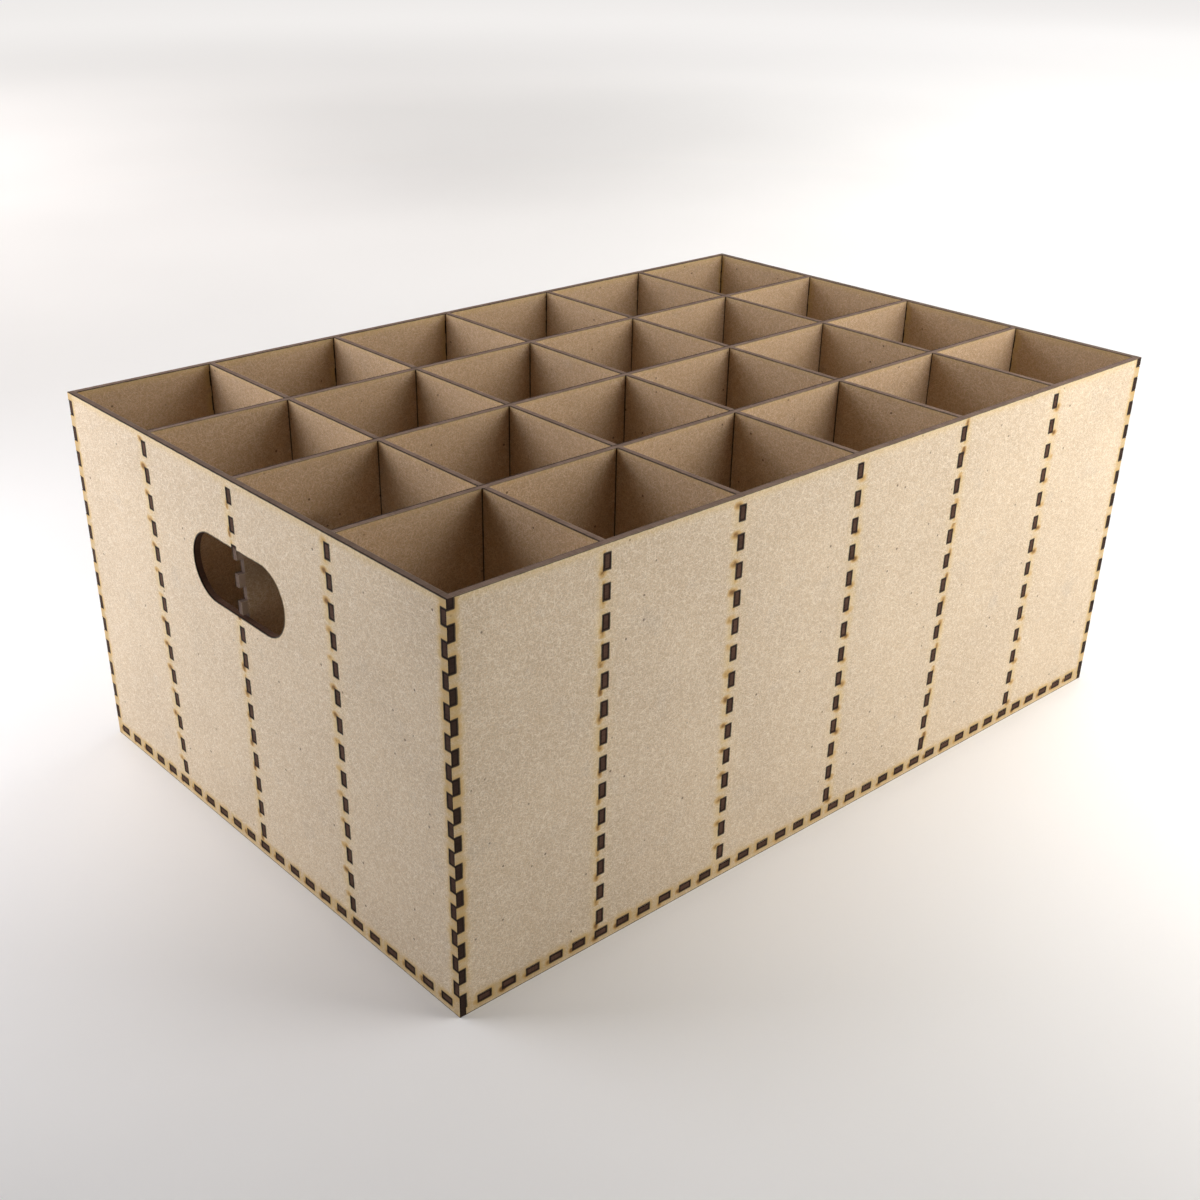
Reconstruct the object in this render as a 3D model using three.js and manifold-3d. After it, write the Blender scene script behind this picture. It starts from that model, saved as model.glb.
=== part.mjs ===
// A crate for drinks cans, cut by laser from one thickness of fibreboard. Four finger-jointed walls
// stand round a raised floor, and slotted dividers cross at half laps to make a grid of cells.
// Millimetres, +Z up. The origin is the middle of the footprint, on the surface the crate stands on,
// with +X along the length and +Y across the width.

import * as THREE from 'three';
import { mergeVertices } from 'three/addons/utils/BufferGeometryUtils.js';
import loadManifold from 'manifold-3d';

// Board and joints
const BOARD = 3; // thickness of every board, and so the reach of every finger
const FINGER = 6; // width of a finger along its edge
const FINGER_SPACE = 6; // board left between two neighbouring fingers
const FINGER_END_SPACE = 1.5; // least board left between the last finger and the end of a joint
const CUT_CLEARANCE = 0.1; // gap that the cut leaves between a finger and each side of its slot

// Cells: each takes a standing 66 mm drinks can, 168 mm tall
const CELL_LENGTH = 66.5; // clear space along X
const CELL_WIDTH = 66.25; // clear space along Y
const CELL_DEPTH = 170; // floor to rim
const CELLS_ALONG = 6;
const CELLS_ACROSS = 4;

// Walls
const FLOOR_LIP = 3; // height of the walls below the floor, on which the crate stands

// Hand holes in the end walls, with fully rounded ends
const HAND_HOLE_LENGTH = 70;
const HAND_HOLE_HEIGHT = 30;
const HAND_HOLE_DROP = 44.5; // rim down to the middle of the hole
const HAND_HOLE_ARC_STEPS = 14; // flats in each rounded end

// Finish
const BOARD_ROUGHNESS = 0.78;
const WALL_COLOUR = 0xcdb893;
const DIVIDER_COLOUR = 0xa98d67;

// Sizes that follow
const PITCH_ALONG = CELL_LENGTH + BOARD;
const PITCH_ACROSS = CELL_WIDTH + BOARD;
const INNER_LENGTH = CELLS_ALONG * PITCH_ALONG - BOARD;
const INNER_WIDTH = CELLS_ACROSS * PITCH_ACROSS - BOARD;
const WIDTH = INNER_WIDTH + 2 * BOARD;
const FLOOR_TOP = FLOOR_LIP + BOARD;
const SLOT_LENGTH = FINGER + 2 * CUT_CLEARANCE;
const SLOT_THICKNESS = BOARD + 2 * CUT_CLEARANCE;
const CUTTER_OVERRUN = BOARD; // how far a cutter stands out of each face of a board

// Upright boards are drawn flat, with u along the board and v up from mid-depth of the cells
const MID_DEPTH = FLOOR_TOP + CELL_DEPTH / 2;
const RIM = CELL_DEPTH / 2;
const FLOOR_SURFACE = -CELL_DEPTH / 2;
const FLOOR_MIDDLE = FLOOR_SURFACE - BOARD / 2;
const WALL_FOOT = FLOOR_SURFACE - FLOOR_TOP;

// Places spread evenly about zero
function spread(count, pitch) {
  return Array.from({ length: count }, (_, i) => (i - (count - 1) / 2) * pitch);
}

// Middles of the fingers along a joint: as many as fit, measured from the middle of the joint
function fingersAlong(run) {
  const period = FINGER + FINGER_SPACE;
  const count = Math.floor((run + FINGER_SPACE - 2 * FINGER_END_SPACE) / period);
  return spread(count, period);
}

const UPRIGHT_FINGERS = fingersAlong(CELL_DEPTH);
const LENGTH_FINGERS = fingersAlong(INNER_LENGTH);
const WIDTH_FINGERS = fingersAlong(INNER_WIDTH);
const CROSS_DIVIDER_PLACES = spread(CELLS_ALONG - 1, PITCH_ALONG);
const LONG_DIVIDER_PLACES = spread(CELLS_ACROSS - 1, PITCH_ACROSS);

// Steps of one width and reach: a positive reach stands out of the edge, a negative one is cut into it
function steps(places, width, reach) {
  return places.map((place) => ({ place, width, reach }));
}

const fingers = (places) => steps(places, FINGER, BOARD);
const cornerNotches = (places) => steps(places, SLOT_LENGTH, -BOARD - CUT_CLEARANCE);
const lapSlots = (places) => steps(places, SLOT_THICKNESS, -(CELL_DEPTH + CUT_CLEARANCE) / 2);

// One straight edge of a board, walked with the board on its left, and the steps along it
function edgePoints(start, end, edgeSteps = []) {
  const along = end.clone().sub(start).normalize();
  const outward = new THREE.Vector2(along.y, -along.x);
  const point = (distance, reach) => start.clone()
    .addScaledVector(along, distance)
    .addScaledVector(outward, reach);
  const distanceTo = (place) => along.x * (place - start.x) + along.y * (place - start.y);
  const walk = [...edgeSteps].sort((a, b) => distanceTo(a.place) - distanceTo(b.place));
  const points = [start];
  for (const { place, width, reach } of walk) {
    const near = distanceTo(place) - width / 2;
    const far = near + width;
    points.push(point(near, 0), point(near, reach), point(far, reach), point(far, 0));
  }
  return points;
}

// A board's outline: a rectangle whose edges carry steps
function boardShape(left, right, bottom, top, edges = {}) {
  const corners = [
    new THREE.Vector2(left, bottom),
    new THREE.Vector2(right, bottom),
    new THREE.Vector2(right, top),
    new THREE.Vector2(left, top),
  ];
  const edgeOrder = [edges.bottom, edges.right, edges.top, edges.left];
  const outline = corners.flatMap((corner, i) => {
    const nextCorner = corners[(i + 1) % corners.length];
    return edgePoints(corner, nextCorner, edgeOrder[i]);
  });
  return new THREE.Shape(outline);
}

// A rectangular slot, centred at u and v
function slotShape(u, v, width, height) {
  return boardShape(u - width / 2, u + width / 2, v - height / 2, v + height / 2);
}

// The slots of a wall: a column for each divider that ends on it, and a row for the floor
function wallSlots(dividerPlaces, floorFingers) {
  const dividerSlots = dividerPlaces.flatMap((u) => UPRIGHT_FINGERS.map(
    (v) => slotShape(u, v, SLOT_THICKNESS, SLOT_LENGTH),
  ));
  const floorSlots = floorFingers.map((u) => slotShape(u, FLOOR_MIDDLE, SLOT_LENGTH, SLOT_THICKNESS));
  return [...dividerSlots, ...floorSlots];
}

// A hand hole: a straight slot with fully rounded ends
function handHoleShape() {
  const radius = HAND_HOLE_HEIGHT / 2;
  const arcMiddle = HAND_HOLE_LENGTH / 2 - radius;
  const middle = RIM - HAND_HOLE_DROP;
  const shape = new THREE.Shape();
  shape.absarc(arcMiddle, middle, radius, -Math.PI / 2, Math.PI / 2);
  shape.absarc(-arcMiddle, middle, radius, Math.PI / 2, 3 * Math.PI / 2);
  shape.closePath();
  return shape;
}

function cutFromBoard(shape) {
  return new THREE.ExtrudeGeometry(shape, { depth: BOARD, bevelEnabled: false });
}

const manifold = await loadManifold();
manifold.setup();

function toSolid(geometry) {
  const bare = geometry.clone();
  bare.deleteAttribute('normal');
  bare.deleteAttribute('uv');
  const merged = mergeVertices(bare);
  return new manifold.Manifold(new manifold.Mesh({
    numProp: 3,
    vertProperties: merged.attributes.position.array,
    triVerts: Uint32Array.from(merged.index.array),
  }));
}

// Cuts a set of openings, none overlapping another, right through a board
function cutThrough(geometry, openings) {
  const cutter = new THREE.ExtrudeGeometry(openings, {
    depth: BOARD + 2 * CUTTER_OVERRUN,
    bevelEnabled: false,
    curveSegments: HAND_HOLE_ARC_STEPS,
  });
  cutter.translate(0, 0, -CUTTER_OVERRUN);
  const { vertProperties, triVerts, numProp } = toSolid(geometry).subtract(toSolid(cutter)).getMesh();
  const result = new THREE.BufferGeometry();
  result.setAttribute('position', new THREE.BufferAttribute(vertProperties, numProp));
  result.setIndex(new THREE.BufferAttribute(triVerts, 1));
  const faceted = result.toNonIndexed();
  faceted.computeVertexNormals();
  return faceted;
}

// A long wall's ends carry fingers that fill the notches of the end walls
function longWall() {
  const outline = boardShape(-INNER_LENGTH / 2, INNER_LENGTH / 2, WALL_FOOT, RIM, {
    left: fingers(UPRIGHT_FINGERS),
    right: fingers(UPRIGHT_FINGERS),
  });
  return cutThrough(cutFromBoard(outline), wallSlots(CROSS_DIVIDER_PLACES, LENGTH_FINGERS));
}

// An end wall spans the whole width. Its hand hole runs into the slots of the middle divider,
// whose fingers there stand free in the opening.
function endWall() {
  const outline = boardShape(-WIDTH / 2, WIDTH / 2, WALL_FOOT, RIM, {
    left: cornerNotches(UPRIGHT_FINGERS),
    right: cornerNotches(UPRIGHT_FINGERS),
  });
  const slotted = cutThrough(cutFromBoard(outline), wallSlots(LONG_DIVIDER_PLACES, WIDTH_FINGERS));
  return cutThrough(slotted, [handHoleShape()]);
}

function floorBoard() {
  return cutFromBoard(boardShape(-INNER_LENGTH / 2, INNER_LENGTH / 2, -INNER_WIDTH / 2, INNER_WIDTH / 2, {
    bottom: fingers(LENGTH_FINGERS),
    right: fingers(WIDTH_FINGERS),
    top: fingers(LENGTH_FINGERS),
    left: fingers(WIDTH_FINGERS),
  }));
}

// A divider across the width, open at the top where the long dividers drop in
function crossDivider() {
  return cutFromBoard(boardShape(-INNER_WIDTH / 2, INNER_WIDTH / 2, FLOOR_SURFACE, RIM, {
    left: fingers(UPRIGHT_FINGERS),
    right: fingers(UPRIGHT_FINGERS),
    top: lapSlots(LONG_DIVIDER_PLACES),
  }));
}

// A divider along the length, open below where it straddles the cross dividers
function longDivider() {
  return cutFromBoard(boardShape(-INNER_LENGTH / 2, INNER_LENGTH / 2, FLOOR_SURFACE, RIM, {
    left: fingers(UPRIGHT_FINGERS),
    right: fingers(UPRIGHT_FINGERS),
    bottom: lapSlots(CROSS_DIVIDER_PLACES),
  }));
}

function board(name, geometry, colour) {
  const material = new THREE.MeshStandardMaterial({
    color: colour,
    roughness: BOARD_ROUGHNESS,
    metalness: 0,
  });
  const mesh = new THREE.Mesh(geometry, material);
  mesh.name = name;
  return mesh;
}

// Stands a board up along X with its middle at the given place across the width
function standAlong(mesh, place) {
  mesh.rotation.set(Math.PI / 2, 0, 0);
  mesh.position.set(0, place + BOARD / 2, MID_DEPTH);
  return mesh;
}

// Stands a board up along Y with its middle at the given place along the length
function standAcross(mesh, place) {
  mesh.rotation.set(Math.PI / 2, Math.PI / 2, 0);
  mesh.position.set(place - BOARD / 2, 0, MID_DEPTH);
  return mesh;
}

const longWallPlace = (INNER_WIDTH + BOARD) / 2;
const endWallPlace = (INNER_LENGTH + BOARD) / 2;

const walls = new THREE.Group();
walls.add(standAlong(board('front_wall', longWall(), WALL_COLOUR), -longWallPlace));
walls.add(standAlong(board('back_wall', longWall(), WALL_COLOUR), longWallPlace));
walls.add(standAcross(board('left_end_wall', endWall(), WALL_COLOUR), -endWallPlace));
walls.add(standAcross(board('right_end_wall', endWall(), WALL_COLOUR), endWallPlace));

const floor = board('floor_board', floorBoard(), DIVIDER_COLOUR);
floor.position.z = FLOOR_LIP;

const dividers = new THREE.Group();
CROSS_DIVIDER_PLACES.forEach((place, i) => {
  dividers.add(standAcross(board(`cross_divider_${i + 1}`, crossDivider(), DIVIDER_COLOUR), place));
});
LONG_DIVIDER_PLACES.forEach((place, i) => {
  dividers.add(standAlong(board(`long_divider_${i + 1}`, longDivider(), DIVIDER_COLOUR), place));
});

const crate = new THREE.Group();
crate.name = 'can_crate';
crate.add(walls, floor, dividers);

export default crate;
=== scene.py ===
from math import floor, pi, radians

import bpy
from mathutils import Matrix, Vector


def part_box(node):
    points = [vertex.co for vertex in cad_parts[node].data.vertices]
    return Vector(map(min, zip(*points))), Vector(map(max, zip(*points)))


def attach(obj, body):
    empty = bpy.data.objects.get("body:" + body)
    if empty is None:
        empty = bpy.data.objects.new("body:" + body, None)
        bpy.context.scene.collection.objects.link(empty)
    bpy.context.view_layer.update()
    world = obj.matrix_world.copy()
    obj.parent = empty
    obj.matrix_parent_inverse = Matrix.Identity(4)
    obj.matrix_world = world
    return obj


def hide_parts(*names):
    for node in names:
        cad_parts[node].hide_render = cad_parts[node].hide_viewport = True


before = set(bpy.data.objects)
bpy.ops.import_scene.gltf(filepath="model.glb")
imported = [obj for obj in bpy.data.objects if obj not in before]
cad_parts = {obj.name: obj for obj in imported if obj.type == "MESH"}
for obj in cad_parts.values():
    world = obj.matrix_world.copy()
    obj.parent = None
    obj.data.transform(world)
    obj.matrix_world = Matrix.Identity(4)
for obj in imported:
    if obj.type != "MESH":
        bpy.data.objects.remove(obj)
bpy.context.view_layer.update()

# Sizes of the crate, in metres, read from the frame

MM = 0.001


def span(node, axis):
    """Lowest and highest place of a CAD board along one axis."""
    low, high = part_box(node)
    return low[axis], high[axis]


def middle(node, axis):
    """Middle of a CAD board along one axis."""
    low, high = span(node, axis)
    return (low + high) / 2


LEFT, RIGHT = span("front_wall", 0)
NEAR, FAR = span("left_end_wall", 1)
WALL_FOOT, WALL_RIM = span("front_wall", 2)
FLOOR_FOOT, FLOOR_TOP = span("floor_board", 2)

BOARD = span("front_wall", 1)[1] - NEAR
LENGTH = RIGHT - LEFT
WIDTH = FAR - NEAR
INNER_LENGTH = LENGTH - 2 * BOARD
INNER_WIDTH = WIDTH - 2 * BOARD
MID_DEPTH = (FLOOR_TOP + WALL_RIM) / 2
CELL_DEPTH = WALL_RIM - FLOOR_TOP

CROSS_DIVIDERS = 5
LONG_DIVIDERS = 3
PITCH_ALONG = middle("cross_divider_2", 0) - middle("cross_divider_1", 0)
PITCH_ACROSS = middle("long_divider_2", 1) - middle("long_divider_1", 1)

# Sizes of the laser cuts

FINGER = 6 * MM
FINGER_PERIOD = 12 * MM
FINGER_END_SPACE = 1.5 * MM
KERF = 0.12 * MM
SLOT_LENGTH = FINGER + 2 * KERF
SLOT_WIDTH = BOARD + 2 * KERF
CUT_FINGER = FINGER - 2 * KERF
LAP_DEPTH = CELL_DEPTH / 2 + KERF / 2
SHORT_TIPS = 0.16 * MM
PLANED_OFF = 0.01 * MM
HAND_HOLE_LENGTH = 70 * MM
HAND_HOLE_HEIGHT = 30 * MM
HAND_HOLE_DROP = 44.5 * MM
HAND_HOLE_LEVEL = WALL_RIM - HAND_HOLE_DROP - MID_DEPTH
HAND_HOLE_RADIUS = 0.4999 * HAND_HOLE_HEIGHT
HAND_HOLE_STEPS = 20


def fingers_along(run):
    """How many fingers a straight edge of that length takes."""
    return floor((run + FINGER_PERIOD - FINGER - 2 * FINGER_END_SPACE) / FINGER_PERIOD)


UPRIGHT_FINGERS = fingers_along(CELL_DEPTH)
LENGTH_FINGERS = fingers_along(INNER_LENGTH)
WIDTH_FINGERS = fingers_along(INNER_WIDTH)
FLOOR_ROW = (FLOOR_FOOT + FLOOR_TOP) / 2 - MID_DEPTH

# Node trees, written as expressions


class Wire:
    """One output of a node. Arithmetic on it adds Math nodes to its tree."""

    def __init__(self, bench, socket):
        self.bench = bench
        self.socket = socket

    def beside(self, name):
        """Another output of the same node."""
        return Wire(self.bench, self.socket.node.outputs[name])

    def maths(self, operation, *values):
        return self.bench.add("ShaderNodeMath", {"operation": operation}, dict(enumerate(values)))

    def __add__(self, other):
        return self.maths("ADD", self, other)

    def __radd__(self, other):
        return self.maths("ADD", other, self)

    def __sub__(self, other):
        return self.maths("SUBTRACT", self, other)

    def __rsub__(self, other):
        return self.maths("SUBTRACT", other, self)

    def __mul__(self, other):
        return self.maths("MULTIPLY", self, other)

    def __rmul__(self, other):
        return self.maths("MULTIPLY", other, self)

    def __truediv__(self, other):
        return self.maths("DIVIDE", self, other)

    def __rtruediv__(self, other):
        return self.maths("DIVIDE", other, self)

    def __pow__(self, other):
        return self.maths("POWER", self, other)

    def __neg__(self):
        return self.maths("MULTIPLY", self, -1.0)

    def __abs__(self):
        return self.maths("ABSOLUTE", self)

    def whole(self):
        return self.maths("FLOOR", self)

    def root(self):
        return self.maths("SQRT", self)

    def least(self, other):
        return self.maths("MINIMUM", self, other)

    def most(self, other):
        return self.maths("MAXIMUM", self, other)

    def above(self, other):
        return self.maths("GREATER_THAN", self, other)

    def below(self, other):
        return self.maths("LESS_THAN", self, other)

    def ramp(self, start, end, low=0.0, high=1.0):
        """Goes smoothly from low at start to high at end and stays there."""
        return self.bench.add(
            "ShaderNodeMapRange",
            {"interpolation_type": "SMOOTHSTEP"},
            {"Value": self, "From Min": start, "From Max": end, "To Min": low, "To Max": high},
        )

    def fading(self, mark):
        """Has the mark's strength up to its start, and fades to nothing at its end."""
        start, end, strength = mark
        return self.ramp(start, end, strength, 0.0)

    def parts(self):
        """The three numbers of a vector."""
        split = self.bench.add("ShaderNodeSeparateXYZ", None, {"Vector": self})
        return split, split.beside("Y"), split.beside("Z")


# Sockets that share a name go by number: colours on a Mix node, floats on a Random Value node

MIX_SHARE, MIX_UNDER, MIX_OVER, MIX_COLOUR = 0, 6, 7, 2
RANDOM_LEAST, RANDOM_MOST, RANDOM_FLOAT = 2, 3, 1


class Bench:
    """A node tree that grows one node at a time."""

    def __init__(self, tree):
        self.tree = tree

    def add(self, kind, settings=None, sockets=None, out=0):
        """One node: its settings, then the values or links of its sockets. Gives one of its outputs."""
        node = self.tree.nodes.new(kind)
        for name, value in (settings or {}).items():
            setattr(node, name, value)
        for key, value in (sockets or {}).items():
            self.feed(node.inputs[key], value)
        return Wire(self, node.outputs[out]) if node.outputs else None

    def feed(self, socket, value):
        """Links wires to a socket, or sets its value."""
        wires = value if isinstance(value, list) else [value]
        if isinstance(wires[0], Wire):
            for wire in wires:
                self.tree.links.new(wire.socket, socket)
        else:
            socket.default_value = value

    def vector(self, x=0.0, y=0.0, z=0.0):
        return self.add("ShaderNodeCombineXYZ", None, {"X": x, "Y": y, "Z": z})

    def noise(self, place, scale, detail=2.0, roughness=0.5):
        sockets = {"Vector": place, "Scale": scale, "Detail": detail, "Roughness": roughness}
        return self.add("ShaderNodeTexNoise", None, sockets)

    def stretched(self, place, sizes, turn=0.0):
        """The place measured in grains of that size, turned in the sheet."""
        sockets = {"Vector": place, "Rotation": (0.0, 0.0, turn), "Scale": sizes}
        return self.add("ShaderNodeMapping", {"vector_type": "TEXTURE"}, sockets)

    def blend(self, share, under, over, how="MIX"):
        """A colour between two others."""
        settings = {"data_type": "RGBA", "blend_type": how}
        sockets = {MIX_SHARE: share, MIX_UNDER: under, MIX_OVER: over}
        return self.add("ShaderNodeMix", settings, sockets, MIX_COLOUR)


# The board tree: an outline with fingers, slots and a hand hole, cut from a flat sheet

BOARD_INPUTS = {
    "Half Length": "NodeSocketFloat",
    "Foot": "NodeSocketFloat",
    "Rim": "NodeSocketFloat",
    "Thickness": "NodeSocketFloat",
    "Side Fingers": "NodeSocketInt",
    "Side Size": "NodeSocketFloat",
    "Side Reach": "NodeSocketFloat",
    "Foot Fingers": "NodeSocketInt",
    "Foot Pitch": "NodeSocketFloat",
    "Foot Size": "NodeSocketFloat",
    "Foot Reach": "NodeSocketFloat",
    "Rim Fingers": "NodeSocketInt",
    "Rim Pitch": "NodeSocketFloat",
    "Rim Size": "NodeSocketFloat",
    "Rim Reach": "NodeSocketFloat",
    "Short Tips": "NodeSocketFloat",
    "Slot Columns": "NodeSocketInt",
    "Column Pitch": "NodeSocketFloat",
    "Floor Slots": "NodeSocketInt",
    "Floor Row": "NodeSocketFloat",
    "Hand Hole": "NodeSocketBool",
    "Place": "NodeSocketVector",
    "Turn": "NodeSocketVector",
    "Seed": "NodeSocketInt",
    "Sheet Face": "NodeSocketMaterial",
    "Cut Edge": "NodeSocketMaterial",
}
WALK_STEP = 1000
FINGER_CORNERS = 4
GRAIN_STEP = 0.1
MERGE = 0.001 * MM


def numbered(g, points, order):
    """Points that know their order along the outline."""
    sockets = {"Geometry": points, "Name": "walk", "Value": order}
    return g.add("GeometryNodeStoreNamedAttribute", {"data_type": "FLOAT", "domain": "POINT"}, sockets)


def outline_corner(g, edge, x, y):
    """The corner at which an edge of the outline starts."""
    point = g.add("GeometryNodePoints", None, {"Count": 1, "Position": g.vector(x, y)})
    return numbered(g, point, float(edge * WALK_STEP))


def outline_edge(g, edge, count, pitch, size, reach, short, seed, lay):
    """Four points for each finger or notch of an edge, in the order in which the outline runs.

    The first and the last of the four are on the edge, and the two between them at the tip.
    """
    index = g.add("GeometryNodeInputIndex")
    finger = (index / FINGER_CORNERS).whole()
    corner = index - finger * FINGER_CORNERS
    chance = {RANDOM_LEAST: 0.0, RANDOM_MOST: short, "ID": finger + edge * WALK_STEP, "Seed": seed}
    shortfall = g.add("FunctionNodeRandomValue", {"data_type": "FLOAT"}, chance, RANDOM_FLOAT)
    along = (finger - (count - 1) / 2) * pitch + (corner.above(1.5) - 0.5) * size
    outward = corner.above(0.5) * corner.below(2.5) * (reach - shortfall)
    points = g.add("GeometryNodePoints", None, {"Count": count * FINGER_CORNERS})
    laid = g.add("GeometryNodeSetPosition", None, {"Geometry": points, "Position": lay(along, outward)})
    return numbered(g, laid, index + float(edge * WALK_STEP + 1))


def board_outline(g, inputs):
    """The closed outline of a board, walked from its lower left corner."""
    half, foot, rim = inputs["Half Length"], inputs["Foot"], inputs["Rim"]
    short, seed = inputs["Short Tips"], inputs["Seed"]

    def cut(name, pitch):
        return inputs[name + " Fingers"], pitch, inputs[name + " Size"], inputs[name + " Reach"], short, seed

    side = cut("Side", FINGER_PERIOD)
    points = [
        outline_corner(g, 0, -half, foot),
        outline_edge(g, 0, *cut("Foot", inputs["Foot Pitch"]), lambda a, o: g.vector(a, foot - o)),
        outline_corner(g, 1, half, foot),
        outline_edge(g, 1, *side, lambda a, o: g.vector(half + o, a)),
        outline_corner(g, 2, half, rim),
        outline_edge(g, 2, *cut("Rim", inputs["Rim Pitch"]), lambda a, o: g.vector(-a, rim + o)),
        outline_corner(g, 3, -half, rim),
        outline_edge(g, 3, *side, lambda a, o: g.vector(-half - o, -a)),
    ]
    walk = g.add("GeometryNodeInputNamedAttribute", {"data_type": "FLOAT"}, {"Name": "walk"})
    together = g.add("GeometryNodeJoinGeometry", None, {"Geometry": points})
    line = g.add("GeometryNodePointsToCurves", None, {"Points": together, "Weight": walk})
    return g.add("GeometryNodeSetSplineCyclic", None, {"Geometry": line, "Cyclic": True})


def slots_at(g, places, width, height):
    """One rectangular slot round each place."""
    slot = g.add(
        "GeometryNodeCurvePrimitiveQuadrilateral", {"mode": "RECTANGLE"}, {"Width": width, "Height": height}
    )
    return g.add("GeometryNodeInstanceOnPoints", None, {"Points": places, "Instance": slot})


def board_slots(g, inputs):
    """The slots for the dividers' fingers and for the floor's fingers."""
    columns, uprights, along = inputs["Slot Columns"], inputs["Side Fingers"], inputs["Floor Slots"]
    spread = {
        "Size X": (columns - 1) * inputs["Column Pitch"],
        "Size Y": (uprights - 1) * FINGER_PERIOD,
        "Vertices X": columns,
        "Vertices Y": uprights * columns.above(0.5),
    }
    upright_places = g.add("GeometryNodeMeshGrid", None, spread)
    row = {
        "Count": along,
        "Start Location": g.vector((1 - along) * (FINGER_PERIOD / 2), inputs["Floor Row"]),
        "Offset": (FINGER_PERIOD, 0.0, 0.0),
    }
    floor_places = g.add("GeometryNodeMeshLine", {"mode": "OFFSET"}, row)
    return [
        slots_at(g, upright_places, SLOT_WIDTH, SLOT_LENGTH),
        slots_at(g, floor_places, SLOT_LENGTH, SLOT_WIDTH),
    ]


def sheet_of(g, curves, thickness):
    """A closed sheet of that thickness inside the curves, from level zero up."""
    flat = g.add("GeometryNodeFillCurve", {"mode": "NGONS"}, {"Curve": curves})
    lifted = g.add(
        "GeometryNodeExtrudeMesh",
        {"mode": "FACES"},
        {"Mesh": flat, "Offset": g.vector(0.0, 0.0, thickness), "Individual": False},
    )
    under = g.add("GeometryNodeFlipFaces", None, {"Mesh": flat})
    closed = g.add("GeometryNodeJoinGeometry", None, {"Geometry": [lifted, under]})
    return g.add("GeometryNodeMergeByDistance", None, {"Geometry": closed, "Distance": MERGE})


def hand_hole_plug(g, thickness):
    """The rounded plug that the hand hole takes out of a board."""
    sizes = {"Width": HAND_HOLE_LENGTH, "Height": HAND_HOLE_HEIGHT}
    square = g.add("GeometryNodeCurvePrimitiveQuadrilateral", {"mode": "RECTANGLE"}, sizes)
    fillet = {"Curve": square, "Radius": HAND_HOLE_RADIUS, "Count": HAND_HOLE_STEPS, "Limit Radius": True}
    ring = g.add("GeometryNodeFilletCurve", {"mode": "POLY"}, fillet)
    plug = sheet_of(g, ring, thickness * 3)
    return g.add(
        "GeometryNodeTransform",
        None,
        {"Geometry": plug, "Translation": g.vector(0.0, HAND_HOLE_LEVEL, -thickness)},
    )


def board_tree():
    """Builds the tree and gives it with the identifiers of its inputs."""
    tree = bpy.data.node_groups.new("laser cut board", "GeometryNodeTree")
    tree.interface.new_socket("Board", in_out="OUTPUT", socket_type="NodeSocketGeometry")
    g = Bench(tree)
    identifiers = {}
    for name, kind in BOARD_INPUTS.items():
        identifiers[name] = tree.interface.new_socket(name, in_out="INPUT", socket_type=kind).identifier
    entry = g.add("NodeGroupInput")
    inputs = {name: entry.beside(name) for name in BOARD_INPUTS}
    thickness = inputs["Thickness"]

    loops = [board_outline(g, inputs)] + board_slots(g, inputs)
    curves = g.add("GeometryNodeJoinGeometry", None, {"Geometry": loops})
    whole_curves = g.add("GeometryNodeRealizeInstances", None, {"Geometry": curves})
    plain = sheet_of(g, whole_curves, thickness)
    pierced = g.add(
        "GeometryNodeMeshBoolean",
        {"operation": "DIFFERENCE", "solver": "EXACT"},
        {"Mesh 1": plain, "Mesh 2": [hand_hole_plug(g, thickness)]},
    )
    cut = g.add(
        "GeometryNodeSwitch",
        {"input_type": "GEOMETRY"},
        {"Switch": inputs["Hand Hole"], "False": plain, "True": pierced},
    )
    centred = g.add(
        "GeometryNodeTransform", None, {"Geometry": cut, "Translation": g.vector(0.0, 0.0, thickness / -2)}
    )
    place = g.add("GeometryNodeInputPosition")
    marked = g.add(
        "GeometryNodeStoreNamedAttribute",
        {"data_type": "FLOAT_VECTOR", "domain": "POINT"},
        {"Geometry": centred, "Name": "sheet", "Value": place},
    )
    shift = g.vector(0.0, 0.0, inputs["Seed"] * GRAIN_STEP)
    apart = g.add("ShaderNodeVectorMath", {"operation": "ADD"}, {0: place, 1: shift})
    grained = g.add(
        "GeometryNodeStoreNamedAttribute",
        {"data_type": "FLOAT_VECTOR", "domain": "POINT"},
        {"Geometry": marked, "Name": "grain", "Value": apart},
    )
    flat_shaded = g.add("GeometryNodeSetShadeSmooth", None, {"Geometry": grained, "Shade Smooth": False})
    stood = g.add(
        "GeometryNodeTransform",
        None,
        {"Geometry": flat_shaded, "Translation": inputs["Place"], "Rotation": inputs["Turn"]},
    )
    normal_on_bench = g.add(
        "ShaderNodeVectorRotate",
        {"rotation_type": "EULER_XYZ", "invert": True},
        {"Vector": g.add("GeometryNodeInputNormal"), "Rotation": inputs["Turn"]},
    )
    on_face = abs(normal_on_bench.parts()[2]).above(0.5)
    whole = g.add("GeometryNodeRealizeInstances", None, {"Geometry": stood})
    charred = g.add("GeometryNodeSetMaterial", None, {"Geometry": whole, "Material": inputs["Cut Edge"]})
    faced = g.add(
        "GeometryNodeSetMaterial",
        None,
        {"Geometry": charred, "Selection": on_face, "Material": inputs["Sheet Face"]},
    )
    g.add("NodeGroupOutput", None, {"Board": faced})
    return tree, identifiers


# Colours of the board, its scorched places, its cut edges and its painted shade

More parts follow.
